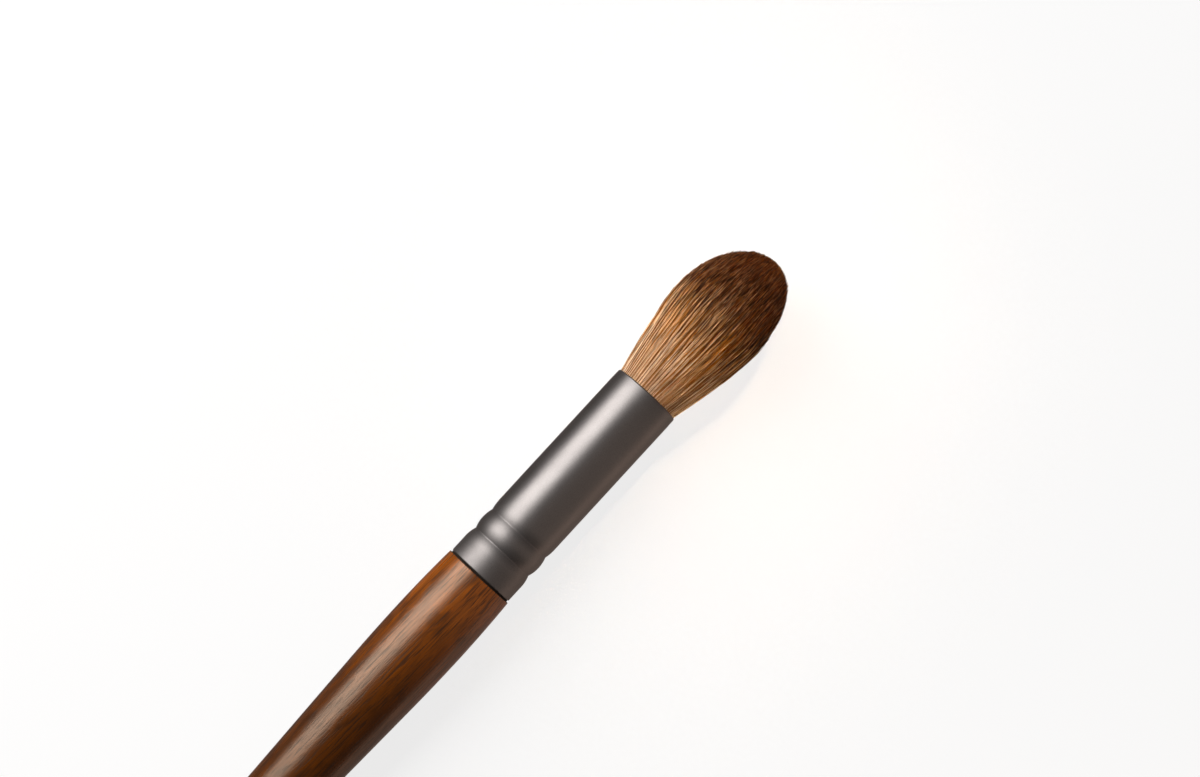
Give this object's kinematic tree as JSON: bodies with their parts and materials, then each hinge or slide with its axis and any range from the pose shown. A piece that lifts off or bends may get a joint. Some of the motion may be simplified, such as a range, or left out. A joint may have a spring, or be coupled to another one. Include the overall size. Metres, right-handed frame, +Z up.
{
  "type": "tapered face brush",
  "caption": "Tapered face brush: a domed tuft of fine brown filaments in a rolled gunmetal ferrule on a slim turned wooden handle, for blending powder on the face.",
  "frame": {"origin": "middle of the bottom of the bounding box, with the brush lying on its side", "axes": "+X along the brush from the handle to the hair tip, +Z up"},
  "size_m": [0.1806, 0.0184, 0.0184],
  "materials": {
    "lacquered_wood": "walnut stain under satin lacquer",
    "gunmetal_aluminium": "matt anodised",
    "wood_glue": "set glue",
    "cured_resin": "poured resin",
    "binding_thread": "waxed thread",
    "brown_filament": "tapered filaments, tan to dark brown"
  },
  "bodies": {
    "root": {"handle": "lacquered_wood", "ferrule": "gunmetal_aluminium", "tenon_glue": "wood_glue", "resin_plug": "cured_resin", "root_binding_thread": "binding_thread", "hair_tuft": "brown_filament"}
  },
  "joints": []
}
